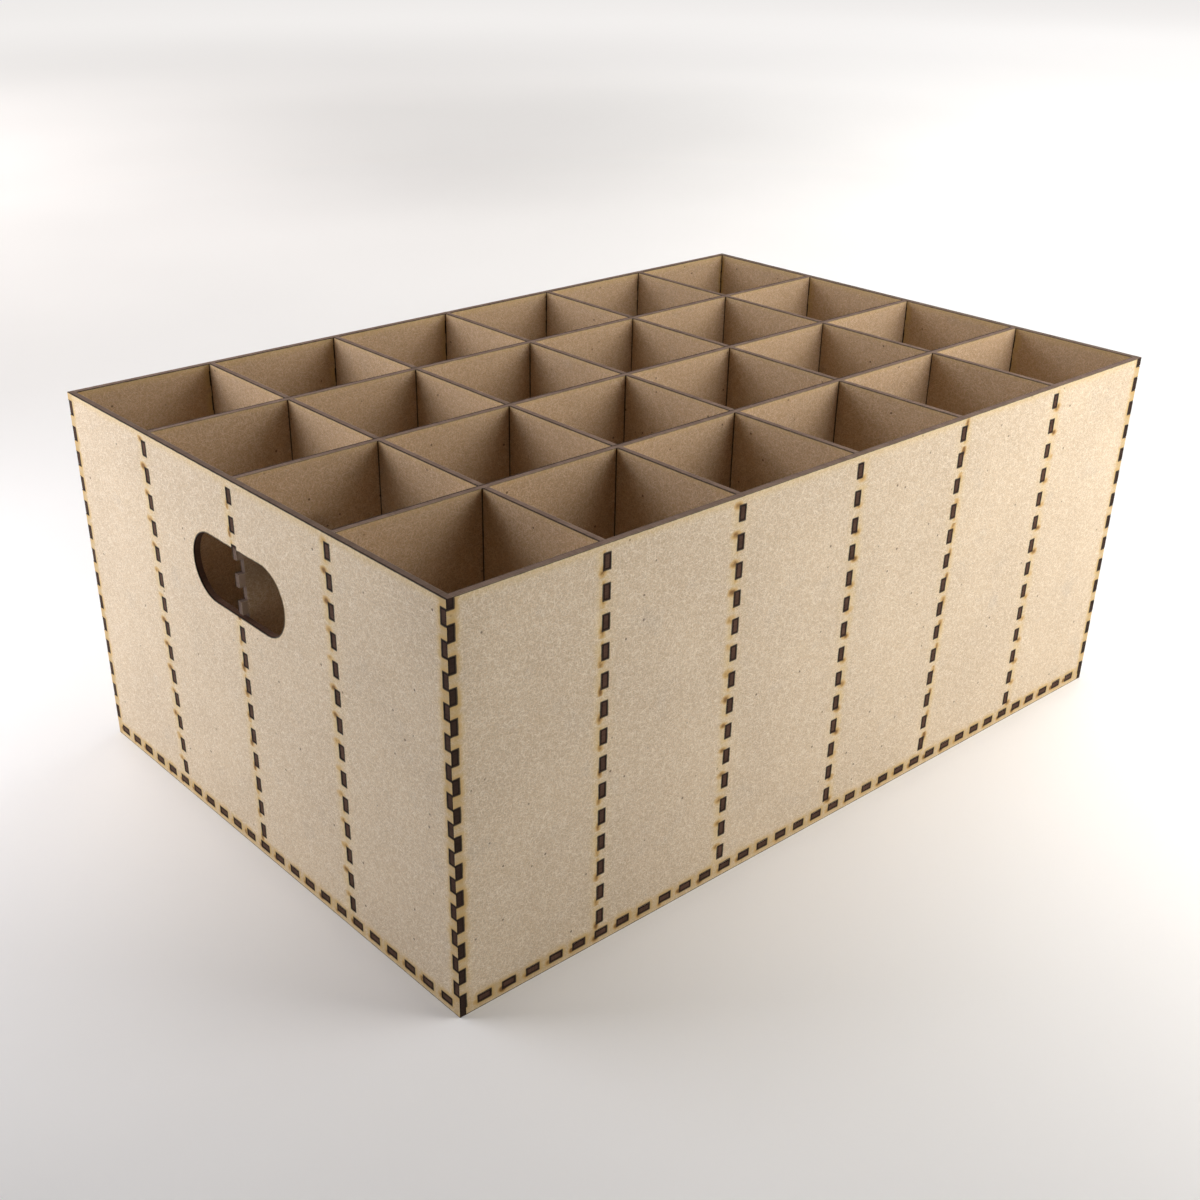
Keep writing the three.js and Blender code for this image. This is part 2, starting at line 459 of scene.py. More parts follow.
PALE_BOARD = (0.645, 0.512, 0.352, 1.0)
DULL_BOARD = (0.594, 0.470, 0.324, 1.0)
LIGHT_FIBRE = (0.960, 0.880, 0.740, 1.0)
DARK_SPECK = (0.110, 0.066, 0.036, 1.0)
GREY_SMUDGE = (0.480, 0.415, 0.340, 1.0)
# Painted shade: inner wall faces, dividers and the floor are made darker and browner with this colour
INNER_PAINTED_SHADE = (0.850, 0.750, 0.655, 1.0)
# Painted shade on the middle divider behind the hand holes
HAND_HOLE_PAINTED_SHADE = (0.430, 0.400, 0.370, 1.0)
WARM_HALO = (0.700, 0.525, 0.225, 1.0)
AMBER = (0.600, 0.370, 0.120, 1.0)
SCORCH = (0.170, 0.068, 0.015, 1.0)
CHAR = (0.012, 0.006, 0.004, 1.0)
TOASTED = (0.500, 0.330, 0.120, 1.0)
TIP_DARK = (0.050, 0.025, 0.016, 1.0)
TIP_LIGHT = (0.125, 0.066, 0.044, 1.0)
RIM_DARK = (0.140, 0.092, 0.070, 1.0)
RIM_LIGHT = (0.260, 0.180, 0.138, 1.0)
FINGER_SIDE = (0.340, 0.245, 0.185, 1.0)

# Grain of the bare board. A scale is a number of patches to the metre.

NOISE_SPAN = (0.25, 0.75)
WIDE_NOISE = (0.2, 0.8)
NARROW_NOISE = (0.3, 0.7)
CLOUD_SCALE = 22.0
DUST_SCALE = 1400.0
DUST_TONES = (0.815, 1.185)
FIBRE_SIZE = (2.2 * MM, 0.25 * MM, 1.0 * MM)
FIBRE_TURNS = (0.2, 0.95, 1.75, 2.6)
FIBRE_NOISE = (0.59, 0.71)
FIBRE_STRENGTH = 0.60
SPECK_SCALE = 150.0
SPECK_CHANCE = 0.38
SPECK = (0.05, 0.11, 1.0)
SPECK_STRENGTH = 0.8
SMUDGE_SCALE = 48.0
SMUDGE_NOISE = (0.56, 0.78)
SMUDGE_STRENGTH = 0.35
PATCH_SCALE = 260.0
UNEVEN_SCALE = 70.0
UNEVEN_TONES = (0.55, 1.0)
REACH_CHANGE = 1.1

# Marks round the cuts: where a mark starts to fade, where it ends, and its strength

SLOT_WARMTH = (0.0, 5.5 * MM, 1.0)
OUTER_WARMTH = (0.0, 4.2 * MM, 1.0)
WARM_STRENGTH = 0.75
SINGED = (0.3 * MM, 2.2 * MM, 0.55)
CUT_WARMTH = (0.0, 2.0 * MM, 0.3)
EDGE_WARMTH = (0.0, 4.5 * MM, 0.5)
FLOOR_ROW_TOAST = (1.5 * MM, 5.0 * MM, 0.5)
CORNER_TOAST_REACH = (-4.5 * MM, -1.0 * MM)
CORNER_TOAST = 0.75
WALL_CHAR = (0.26 * MM, 0.66 * MM, 0.95)
EDGE_CHAR_NARROWING = 1.45
WALL_SEAM = (0.12 * MM, 0.55 * MM, 0.9)
DIVIDER_WARMTH = (0.0, 3.0 * MM, 0.35)
DIVIDER_CHAR = (0.05 * MM, 0.45 * MM, 0.8)
DIVIDER_SEAM = (0.12 * MM, 0.55 * MM, 0.92)
FINGER_SIDE_REACH = (-0.4 * MM, 0.8 * MM)
FINGER_SIDE_STRENGTH = 0.85
HOLE_MARGIN = 0.5 * MM
# Painted shade behind the hand holes: where it rises, where its top fades and how far it reaches along
HOLE_PAINTED_SHADE_RISE = (-15.0 * MM, 8.0 * MM)
HOLE_PAINTED_SHADE_TOP = (15.0 * MM, 24.0 * MM, 1.0)
HOLE_PAINTED_SHADE_LENGTH = (28.0 * MM, 50.0 * MM, 1.0)

# Smoke marks: how far they sit from a corner of their slot, their sizes and their strengths

SMOKE_LEAN = (-0.6, 0.6)
UPWIND = (-2.0 * MM, 1.0 * MM)
UPWIND_SHARE = 0.25
SMOKE_BESIDE, SMOKE_BEYOND, SMOKE_DRIFT = 0.2 * MM, 0.8 * MM, 0.8 * MM
SMOKE_WIDTH, SMOKE_HEIGHT, SMOKE_SPREAD = 2.0 * MM, 4.2 * MM, 0.9 * MM
SMOKE_LEAST, SMOKE_CHANGE = 0.80, 0.45
SWEPT_BESIDE, SWEPT_BACK = 0.9 * MM, 0.3 * MM
SWEPT_WIDER, SWEPT_LOWER = 1.5 * MM, 2.0 * MM
SWEPT_LOSS = 0.08
FAINT_SMOKE_SIZE = (1.5 * MM, 2.2 * MM)
FAINT_SMOKE_CHANCE = (0.35, 1.0)
FAINT_SMOKE_TONES = (0.1, 0.6)
FLOOR_SMOKE_ROW = 50.0
FLOOR_SMOKE_BESIDE, FLOOR_SMOKE_BELOW = 1.0 * MM, 0.6 * MM
FLOOR_SMOKE_DRIFT, FLOOR_SMOKE_DROP = 1.4 * MM, 1.2 * MM
FLOOR_SMOKE_WIDTH, FLOOR_SMOKE_HEIGHT, FLOOR_SMOKE_SPREAD = 2.6 * MM, 2.7 * MM, 1.2 * MM
FLOOR_SMOKE_LEAST, FLOOR_SMOKE_CHANGE = 0.85, 0.6
SMOKE_PATCHES = (0.3, 0.6)
SMOKE_PATCH_TONES = (0.4, 1.0)
AMBER_SMOKE = (0.0, 0.55)
SCORCH_SMOKE = (0.35, 1.0)
SMOKE_STRENGTH = 0.85

# Cut edges

STREAK_SIZE = (0.3 * MM, 0.3 * MM, 9.0 * MM)
BURN_SCALE = 120.0
SOOT_SCALE = 900.0
BURN_PART, STREAK_PART = 0.55, 0.45
ARRIS_WANDER = 0.2
ARRIS_WIDTH = 0.34
ARRIS_STRENGTH = 0.92
RAGGED_SIDE = (-1.02, -0.78, 1.0)
RAGGED_STRENGTH = 0.4
TIP_DEPTH = 0.5 * MM
TIP_END_LINE = (0.18 * MM, 0.62 * MM, 1.0)
TIP_SIDE_LINE = (BOARD / 2 - 0.60 * MM, BOARD / 2 - 0.20 * MM)
RIM_DEPTH = 0.1 * MM
HOLE_SHADE = 0.66
BURNT_BACK, BURNT_FRONT = -1.0, 1.0

# Surfaces

BUMP_HEIGHT = 0.2 * MM
FACE_BUMP, CUT_BUMP = 0.35, 0.45
DUST_HEIGHT, FIBRE_HEIGHT, SPECK_DEPTH, SOOT_HEIGHT = 0.5, 0.5, 0.6, 0.5
WALL_ROUGHNESS, DIVIDER_ROUGHNESS, CUT_ROUGHNESS = (0.62, 0.80), (0.64, 0.82), (0.65, 0.9)
WALL_GLOSS, DIVIDER_GLOSS, CUT_GLOSS = 0.32, 0.3, 0.12


def material_bench(name):
    """A new material with an empty tree."""
    material = bpy.data.materials.new(name)
    material.use_nodes = True
    material.node_tree.nodes.clear()
    return material, Bench(material.node_tree)


def finish_surface(m, colour, roughness, height, bump, gloss, glow=None):
    """Joins colour, roughness, height and, where there is one, glow to the surface."""
    normal = m.add("ShaderNodeBump", None, {"Strength": bump, "Distance": BUMP_HEIGHT, "Height": height})
    sockets = {"Base Color": colour, "Roughness": roughness, "Normal": normal, "Specular IOR Level": gloss}
    if glow:
        sockets.update({"Emission Color": glow, "Emission Strength": 1.0})
    surface = m.add("ShaderNodeBsdfPrincipled", None, sockets)
    m.add("ShaderNodeOutputMaterial", None, {"Surface": surface})


def named_vector(m, name):
    """A vector that the board tree stored on the piece."""
    return m.add("ShaderNodeAttribute", {"attribute_name": name}, None, "Vector")


def pressed_fibres(m, grain):
    """Colour and height of bare fibreboard: clouds, grain, short pale fibres, specks and smudges."""
    clouds = m.noise(grain, CLOUD_SCALE, detail=3.0)
    dust = m.noise(grain, DUST_SCALE, roughness=0.75)
    fibres = None
    for turn in FIBRE_TURNS:
        strand = m.noise(m.stretched(grain, FIBRE_SIZE, turn), 1.0, detail=1.0).ramp(*FIBRE_NOISE)
        fibres = strand if fibres is None else fibres.most(strand)
    cells = m.add("ShaderNodeTexVoronoi", None, {"Vector": grain, "Scale": SPECK_SCALE})
    chosen = cells.beside("Color").parts()[0].above(1.0 - SPECK_CHANCE)
    specks = cells.fading(SPECK) * chosen
    smudges = m.noise(grain, SMUDGE_SCALE, detail=4.0, roughness=0.6).ramp(*SMUDGE_NOISE)

    colour = m.blend(clouds.ramp(*NARROW_NOISE), DULL_BOARD, PALE_BOARD)
    colour = m.blend(smudges * SMUDGE_STRENGTH, colour, GREY_SMUDGE)
    colour = m.blend(1.0, colour, dust.ramp(*NOISE_SPAN, *DUST_TONES), "MULTIPLY")
    colour = m.blend(fibres * FIBRE_STRENGTH, colour, LIGHT_FIBRE)
    colour = m.blend(specks * SPECK_STRENGTH, colour, DARK_SPECK)
    height = dust * DUST_HEIGHT + fibres * FIBRE_HEIGHT - specks * SPECK_DEPTH
    return colour, height


def scorched_patches(m, grain):
    """Cloudy noise over a face, and how much further the heat of a cut reaches in its patches."""
    patchy = m.noise(grain, PATCH_SCALE, detail=3.0, roughness=0.6)
    return patchy, 1.0 + (patchy - 0.5) * REACH_CHANGE


def nearest_line(place, pitch, count):
    """Number of the nearest of some evenly spaced lines, counted from the middle one."""
    shift = 0.0 if count % 2 else 0.5
    last = (count - 1) / 2
    number = (place / pitch + (0.5 - shift)).whole() + shift
    return number.least(last).most(-last)


def repeat_distance(place, pitch, count):
    """Signed distance from the nearest of some evenly spaced lines, set out about the middle."""
    return place - nearest_line(place, pitch, count) * pitch


def chances(m, column, row, board):
    """Three random numbers that stay the same for one cut of one board."""
    place = m.vector(column, row, board)
    return m.add("ShaderNodeTexWhiteNoise", {"noise_dimensions": "3D"}, {"Vector": place}, "Color").parts()


def outside(p, q, half_width, half_height):
    """Distance outside a rectangle about the middle."""
    a = (abs(p) - half_width).most(0.0)
    b = (abs(q) - half_height).most(0.0)
    return (a * a + b * b).root()


def spot(p, q, x, y, wide, high):
    """A soft round mark, full in its middle."""
    a = (p - x) / wide
    b = (q - y) / high
    return (a * a + b * b).root().ramp(0.0, 1.0, 1.0, 0.0)


def slot_smoke(m, v, p, q, board, column, lean):
    """The smoke marks at two corners of each upright slot.

    The laser runs up one column and down the next, and the air across the bed blows its smoke to one side.
    """
    row = nearest_line(v, FINGER_PERIOD, UPRIGHT_FINGERS)
    upward = column - (column / 2).whole() * 2
    way = upward * 2.0 - 1.0
    swept = (lean * way).below(0.0)
    strength, drift, spread = chances(m, column, row, board)
    x = lean * (swept * SWEPT_BESIDE + (SLOT_WIDTH / 2 + SMOKE_BESIDE)) + (drift - 0.5) * SMOKE_DRIFT
    y = way * (SLOT_LENGTH / 2 + SMOKE_BEYOND - swept * SWEPT_BACK)
    wide = swept * SWEPT_WIDER + spread * SMOKE_SPREAD + SMOKE_WIDTH
    high = swept * -SWEPT_LOWER + spread * SMOKE_SPREAD + SMOKE_HEIGHT
    first = spot(p, q, x, y, wide, high) * (strength * SMOKE_CHANGE + SMOKE_LEAST - swept * SWEPT_LOSS)
    second = spot(p, q, lean * (SLOT_WIDTH / 2), -y, *FAINT_SMOKE_SIZE)
    return first.most(second * spread.ramp(*FAINT_SMOKE_CHANCE, *FAINT_SMOKE_TONES))


def floor_smoke(m, u, r, s, board, count):
    """The smoke mark at the lower left of each floor slot."""
    number = nearest_line(u, FINGER_PERIOD, count)
    strength, drift, spread = chances(m, number, FLOOR_SMOKE_ROW, board)
    x = drift * FLOOR_SMOKE_DRIFT - (SLOT_LENGTH / 2 + FLOOR_SMOKE_BESIDE)
    y = drift * -FLOOR_SMOKE_DROP - FLOOR_SMOKE_BELOW
    wide = spread * FLOOR_SMOKE_SPREAD + FLOOR_SMOKE_WIDTH
    mark = spot(r, s, x, y, wide, FLOOR_SMOKE_HEIGHT)
    return mark * (strength * FLOOR_SMOKE_CHANGE + FLOOR_SMOKE_LEAST)


def wall_face(name, length, columns, pitch, floor_slots, corner_cuts, smoke_turn, hand_hole):
    """A wall's face: bare board, warmed and scorched round each laser cut, browner on its inner side from
    painted shade.

    The smoke leans to the left up to the column of that number and to the right after it.
    """
    material, m = material_bench(name)
    grain = named_vector(m, "grain")
    u, v, w = named_vector(m, "sheet").parts()
    inside = w.below(0.0)
    board = ((grain.parts()[2] - w) * (1 / GRAIN_STEP) + 0.5).whole()
    colour, height = pressed_fibres(m, grain)
    # Painted shade: the inner side of the wall is darker and browner
    colour = m.blend(inside, colour, m.blend(1.0, colour, INNER_PAINTED_SHADE, "MULTIPLY"))

    p = repeat_distance(u, pitch, columns)
    q = repeat_distance(v, FINGER_PERIOD, UPRIGHT_FINGERS)
    corner_p = abs(u) - (length - BOARD) / 2
    corner_q = repeat_distance(v, FINGER_PERIOD, corner_cuts)
    r = repeat_distance(u, FINGER_PERIOD, floor_slots)
    s = v - FLOOR_ROW
    slot_gap = outside(p, q, SLOT_WIDTH / 2, SLOT_LENGTH / 2)
    corner_gap = outside(corner_p, corner_q, SLOT_WIDTH / 2, SLOT_LENGTH / 2)
    floor_gap = outside(r, s, SLOT_LENGTH / 2, SLOT_WIDTH / 2)
    gap = slot_gap.least(floor_gap).least(corner_gap)
    edge_gap = (WALL_RIM - MID_DEPTH - v).least(v - (WALL_FOOT - MID_DEPTH))
    char_gap = gap.least(edge_gap * EDGE_CHAR_NARROWING)
    if hand_hole:
        straight = (HAND_HOLE_LENGTH - HAND_HOLE_HEIGHT) / 2
        hole_gap = outside(u, v - HAND_HOLE_LEVEL, straight, 0.0) - HAND_HOLE_HEIGHT / 2
        char_gap = char_gap.least(abs(hole_gap))
    seam_gap = abs(abs(p) - BOARD / 2).least(abs(abs(u) - (length / 2 - BOARD)))

    patchy, reach = scorched_patches(m, grain)
    uneven = m.noise(grain, UNEVEN_SCALE).ramp(*NARROW_NOISE, *UNEVEN_TONES)
    column = nearest_line(u, pitch, columns)
    lean = (column - smoke_turn).ramp(*SMOKE_LEAN, -1.0, 1.0)
    downwind = (p * lean).ramp(*UPWIND, UPWIND_SHARE, 1.0)
    outer_gap = floor_gap.least(corner_gap) / reach
    warm = ((slot_gap / reach).fading(SLOT_WARMTH) * downwind).most(outer_gap.fading(OUTER_WARMTH))
    singe = outer_gap.fading(SINGED) * uneven
    warm_edge = (char_gap / reach).fading(CUT_WARMTH).most((edge_gap / reach).fading(EDGE_WARMTH))
    toasted = (corner_p / reach).ramp(*CORNER_TOAST_REACH, 0.0, CORNER_TOAST)
    toasted = toasted.most(abs(s).fading(FLOOR_ROW_TOAST))
    smoke = slot_smoke(m, v, p, q, board, column, lean)
    smoke = smoke.most(floor_smoke(m, u, r, s, board, floor_slots)) * (1.0 - inside)
    smoke = smoke * patchy.ramp(*SMOKE_PATCHES, *SMOKE_PATCH_TONES)

    colour = m.blend((warm * WARM_STRENGTH * uneven).most(warm_edge), colour, WARM_HALO)
    colour = m.blend(toasted * uneven, colour, TOASTED)
    colour = m.blend(smoke.ramp(*AMBER_SMOKE, 0.0, SMOKE_STRENGTH).most(singe), colour, AMBER)
    colour = m.blend(smoke.ramp(*SCORCH_SMOKE, 0.0, SMOKE_STRENGTH), colour, SCORCH)
    colour = m.blend((char_gap / reach).fading(WALL_CHAR), colour, CHAR)
    colour = m.blend(inside * seam_gap.fading(WALL_SEAM), colour, CHAR)
    roughness = patchy.ramp(*WIDE_NOISE, *WALL_ROUGHNESS)
    finish_surface(m, colour, roughness, height, FACE_BUMP, WALL_GLOSS)
    return material


def beside_hand_hole(v):
    """One on the level of the hand hole."""
    return abs(v - HAND_HOLE_LEVEL).below(HAND_HOLE_HEIGHT / 2 + HOLE_MARGIN)


def painted_shade_behind_hand_hole(u, v, half):
    """A soft patch of painted shade at the ends of the middle divider, behind the upper half of the hand
    holes.
    """
    rise = v - HAND_HOLE_LEVEL
    level = rise.ramp(*HOLE_PAINTED_SHADE_RISE) * rise.fading(HOLE_PAINTED_SHADE_TOP)
    return level * (half - abs(u)).fading(HOLE_PAINTED_SHADE_LENGTH)


def divider_face(name, half, pitch, crossings, hand_hole=False):
    """A divider's face: bare board darkened all over by painted shade, scorched along its rim and black in
    its seams.
    """
    material, m = material_bench(name)
    grain = named_vector(m, "grain")
    u, v, _ = named_vector(m, "sheet").parts()
    colour, height = pressed_fibres(m, grain)
    # Painted shade: the whole divider face is darker and browner
    colour = m.blend(1.0, colour, INNER_PAINTED_SHADE, "MULTIPLY")
    patchy, reach = scorched_patches(m, grain)
    rim_gap = (WALL_RIM - MID_DEPTH - v) / reach
    end_gap = abs(half - abs(u))
    if hand_hole:
        # The wall is open there, so there is no seam against it
        end_gap = end_gap + beside_hand_hole(v)
        # Painted shade on the divider behind the hand holes, strongest near their upper half
        hole_painted_shade = m.blend(1.0, colour, HAND_HOLE_PAINTED_SHADE, "MULTIPLY")
        colour = m.blend(painted_shade_behind_hand_hole(u, v, half), colour, hole_painted_shade)
    seam_gap = abs(abs(repeat_distance(u, pitch, crossings)) - BOARD / 2).least(end_gap)
    finger_side = (abs(u) - half).ramp(*FINGER_SIDE_REACH, 0.0, FINGER_SIDE_STRENGTH)
    colour = m.blend(rim_gap.fading(DIVIDER_WARMTH), colour, WARM_HALO)
    colour = m.blend(finger_side, colour, FINGER_SIDE)
    colour = m.blend(rim_gap.fading(DIVIDER_CHAR), colour, CHAR)
    colour = m.blend(seam_gap.fading(DIVIDER_SEAM), colour, CHAR)
    roughness = patchy.ramp(*WIDE_NOISE, *DIVIDER_ROUGHNESS)
    finish_surface(m, colour, roughness, height, FACE_BUMP, DIVIDER_GLOSS)
    return material


def floor_face():
    """The floor's face: bare board, darkened by painted shade."""
    material, m = material_bench("floor face")
    grain = named_vector(m, "grain")
    colour, height = pressed_fibres(m, grain)
    # Painted shade: the floor face inside the crate is darker and browner
    colour = m.blend(1.0, colour, INNER_PAINTED_SHADE, "MULTIPLY")
    patchy = m.noise(grain, PATCH_SCALE, detail=3.0, roughness=0.6)
    roughness = patchy.ramp(*WIDE_NOISE, *DIVIDER_ROUGHNESS)
    finish_surface(m, colour, roughness, height, FACE_BUMP, DIVIDER_GLOSS)
    return material


def finger_tip(along, w, count):
    """The black outline of finger tips along an edge."""
    q = repeat_distance(along, FINGER_PERIOD, count)
    return abs(abs(q) - FINGER / 2).fading(TIP_END_LINE).most(abs(w).ramp(*TIP_SIDE_LINE))


def cut_edge(
    name, burnt_side, ends, sides=None, hand_hole=False, arris_start=0.40, soot_share=0.0, rim_shade=1.0
):
    """A laser-cut edge: brown char, streaked through the thickness, with a black arris.

    Finger tips have a black outline. They are found by the distance of the tips from the middle
    of the board and the number of fingers, given for the ends and, for the floor, for the sides.
    Soot covers a share of the cuts, apart from the hand hole, and the rim has a shade of its own.
    """
    material, m = material_bench(name)
    grain = named_vector(m, "grain")
    u, v, w = named_vector(m, "sheet").parts()
    streaks = m.noise(m.stretched(grain, STREAK_SIZE), 1.0)
    patches = m.noise(grain, BURN_SCALE, detail=3.0, roughness=0.6)
    soot = m.noise(grain, SOOT_SCALE)
    tone = patches.ramp(*NOISE_SPAN) * BURN_PART + streaks.ramp(*NOISE_SPAN) * STREAK_PART
    depth = w * (burnt_side / (BOARD / 2)) + (soot - 0.5) * ARRIS_WANDER
    arris = depth.ramp(arris_start, arris_start + ARRIS_WIDTH)

    reach, fingers = ends
    outline = abs(u).above(reach - TIP_DEPTH) * finger_tip(v, w, fingers)
    if sides:
        reach, fingers = sides
        outline = outline.most(abs(v).above(reach - TIP_DEPTH) * finger_tip(u, w, fingers))
    if soot_share:
        at_hole = beside_hand_hole(v) * abs(u).below(HAND_HOLE_LENGTH / 2 + HOLE_MARGIN)
        soot_share = soot_share * (1.0 - at_hole)
    colour = m.blend(soot_share, m.blend(tone, TIP_DARK, TIP_LIGHT), CHAR)
    if not sides:
        bare = v.above(WALL_RIM - MID_DEPTH - RIM_DEPTH)
        rim = m.blend(tone, RIM_DARK, RIM_LIGHT)
        rim = m.blend(depth.fading(RAGGED_SIDE) * RAGGED_STRENGTH, rim, DULL_BOARD)
        shade = bare.ramp(0.0, 1.0, HOLE_SHADE, rim_shade)
        if hand_hole:
            bare = bare.most(beside_hand_hole(v))
        colour = m.blend(bare, colour, m.blend(1.0, rim, shade, "MULTIPLY"))
        outline = outline * (1.0 - bare)
    colour = m.blend(arris.most(outline) * ARRIS_STRENGTH, colour, CHAR)
    roughness = soot.ramp(*WIDE_NOISE, *CUT_ROUGHNESS)
    finish_surface(m, colour, roughness, streaks + soot * SOOT_HEIGHT, CUT_BUMP, CUT_GLOSS)
    return material


# Boards

TREE, IDENTIFIERS = board_tree()
LONG_TIPS = (LENGTH / 2, UPRIGHT_FINGERS)
CROSS_TIPS = (WIDTH / 2, UPRIGHT_FINGERS)
LONG_WALL_CUT = cut_edge(
    "long wall cut edge", BURNT_BACK, LONG_TIPS, arris_start=0.70, soot_share=0.35, rim_shade=0.95
)
END_WALL_CUT = cut_edge(
    "end wall cut edge", BURNT_FRONT, CROSS_TIPS, arris_start=0.45, soot_share=0.68, rim_shade=0.80
)
LONG_CUT = cut_edge("long divider cut edge", BURNT_BACK, LONG_TIPS)
CROSS_CUT = cut_edge("cross divider cut edge", BURNT_BACK, CROSS_TIPS)
MIDDLE_CUT = cut_edge("middle divider cut edge", BURNT_BACK, LONG_TIPS, hand_hole=True)
FLOOR_CUT = cut_edge(
    "floor cut edge", BURNT_FRONT, (LENGTH / 2, WIDTH_FINGERS), sides=(WIDTH / 2, LENGTH_FINGERS)
)
LONG_WALL_FACE = wall_face(
    "long wall face",
    LENGTH,
    CROSS_DIVIDERS,
    PITCH_ALONG,
    floor_slots=LENGTH_FINGERS,
    corner_cuts=UPRIGHT_FINGERS + 1,
    smoke_turn=-0.3,
    hand_hole=False,
)
END_WALL_FACE = wall_face(
    "end wall face",
    WIDTH,
    LONG_DIVIDERS,
    PITCH_ACROSS,
    floor_slots=WIDTH_FINGERS,
    corner_cuts=UPRIGHT_FINGERS,
    smoke_turn=2.0,
    hand_hole=True,
)
CROSS_FACE = divider_face("cross divider face", INNER_WIDTH / 2, PITCH_ACROSS, LONG_DIVIDERS)
LONG_FACE = divider_face("long divider face", INNER_LENGTH / 2, PITCH_ALONG, CROSS_DIVIDERS)
MIDDLE_FACE = divider_face(
    "middle divider face", INNER_LENGTH / 2, PITCH_ALONG, CROSS_DIVIDERS, hand_hole=True
)
FLOOR_FACE = floor_face()

PLAIN = {
    "Thickness": BOARD - PLANED_OFF,
    "Foot": WALL_FOOT - MID_DEPTH,
    "Rim": WALL_RIM - MID_DEPTH,
    "Side Fingers": UPRIGHT_FINGERS,
    "Side Size": CUT_FINGER,
    "Side Reach": BOARD,
    "Foot Fingers": 0,
    "Foot Pitch": FINGER_PERIOD,
    "Foot Size": CUT_FINGER,
    "Foot Reach": BOARD,
    "Rim Fingers": 0,
    "Rim Pitch": FINGER_PERIOD,
    "Rim Size": CUT_FINGER,
    "Rim Reach": BOARD,
    "Short Tips": SHORT_TIPS,
    "Slot Columns": 0,
    "Column Pitch": PITCH_ALONG,
    "Floor Slots": 0,
    "Floor Row": FLOOR_ROW,
    "Hand Hole": False,
}
LONG_WALL = {
    "Half Length": INNER_LENGTH / 2,
    "Slot Columns": CROSS_DIVIDERS,
    "Floor Slots": LENGTH_FINGERS,
    "Sheet Face": LONG_WALL_FACE,
    "Cut Edge": LONG_WALL_CUT,
}
END_WALL = {
    "Half Length": WIDTH / 2,
    "Side Size": SLOT_LENGTH,
    "Side Reach": -(BOARD + KERF),
    "Short Tips": 0.0,
    "Slot Columns": LONG_DIVIDERS,
    "Column Pitch": PITCH_ACROSS,
    "Floor Slots": WIDTH_FINGERS,
    "Hand Hole": True,
    "Sheet Face": END_WALL_FACE,
    "Cut Edge": END_WALL_CUT,
}
FLOOR = {
    "Half Length": INNER_LENGTH / 2,
    "Foot": -INNER_WIDTH / 2,
    "Rim": INNER_WIDTH / 2,
    "Side Fingers": WIDTH_FINGERS,
    "Foot Fingers": LENGTH_FINGERS,
    "Rim Fingers": LENGTH_FINGERS,
    "Sheet Face": FLOOR_FACE,
    "Cut Edge": FLOOR_CUT,
}
CROSS_DIVIDER = {
    "Half Length": INNER_WIDTH / 2,
    "Foot": FLOOR_TOP - MID_DEPTH,
    "Rim Fingers": LONG_DIVIDERS,
    "Rim Pitch": PITCH_ACROSS,
    "Rim Size": SLOT_WIDTH,
    "Rim Reach": -LAP_DEPTH,
    "Sheet Face": CROSS_FACE,
    "Cut Edge": CROSS_CUT,
}
LONG_DIVIDER = {
    "Half Length": INNER_LENGTH / 2,
    "Foot": FLOOR_TOP - MID_DEPTH,
    "Foot Fingers": CROSS_DIVIDERS,
    "Foot Pitch": PITCH_ALONG,
    "Foot Size": SLOT_WIDTH,
    "Foot Reach": -LAP_DEPTH,
    "Sheet Face": LONG_FACE,
    "Cut Edge": LONG_CUT,
}
MIDDLE_DIVIDER = {**LONG_DIVIDER, "Sheet Face": MIDDLE_FACE, "Cut Edge": MIDDLE_CUT}
FACING_NEAR = (pi / 2, 0.0, 0.0)
FACING_FAR = (pi / 2, 0.0, pi)
FACING_LEFT = (pi / 2, 0.0, -pi / 2)
FACING_RIGHT = (pi / 2, 0.0, pi / 2)
LYING = (0.0, 0.0, 0.0)


def cut_board(node, sizes, turn, seed):
    """Cuts a board, stands it where its CAD node is, and hands it to the frame."""
    low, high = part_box(node)
    place = (low + high) / 2
    if turn != LYING:
        place.z = MID_DEPTH
    values = {**PLAIN, **sizes, "Place": tuple(place), "Turn": turn, "Seed": seed}
    piece = bpy.data.objects.new(node + "_cut", bpy.data.meshes.new(node + "_blank"))
    bpy.context.scene.collection.objects.link(piece)
    modifier = piece.modifiers.new("laser cut", "NODES")
    modifier.node_group = TREE
    for name, identifier in IDENTIFIERS.items():
        modifier[identifier] = values[name]
    depsgraph = bpy.context.evaluated_depsgraph_get()
    cut = bpy.data.meshes.new_from_object(
        piece.evaluated_get(depsgraph), preserve_all_data_layers=True, depsgraph=depsgraph
    )
    piece.modifiers.clear()
    piece.data = cut
    cut.name = node + "_cut"
    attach(piece, "root")
    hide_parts(node)


cut_board("front_wall", LONG_WALL, FACING_NEAR, 1)
cut_board("back_wall", LONG_WALL, FACING_FAR, 2)
cut_board("left_end_wall", END_WALL, FACING_LEFT, 3)
cut_board("right_end_wall", END_WALL, FACING_RIGHT, 4)
cut_board("floor_board", FLOOR, LYING, 5)
for number in range(1, CROSS_DIVIDERS + 1):
    cut_board(f"cross_divider_{number}", CROSS_DIVIDER, FACING_RIGHT, 10 + number)
cut_board("long_divider_1", LONG_DIVIDER, FACING_NEAR, 21)
cut_board("long_divider_2", MIDDLE_DIVIDER, FACING_NEAR, 22)
cut_board("long_divider_3", LONG_DIVIDER, FACING_NEAR, 23)

# Floor, light and camera

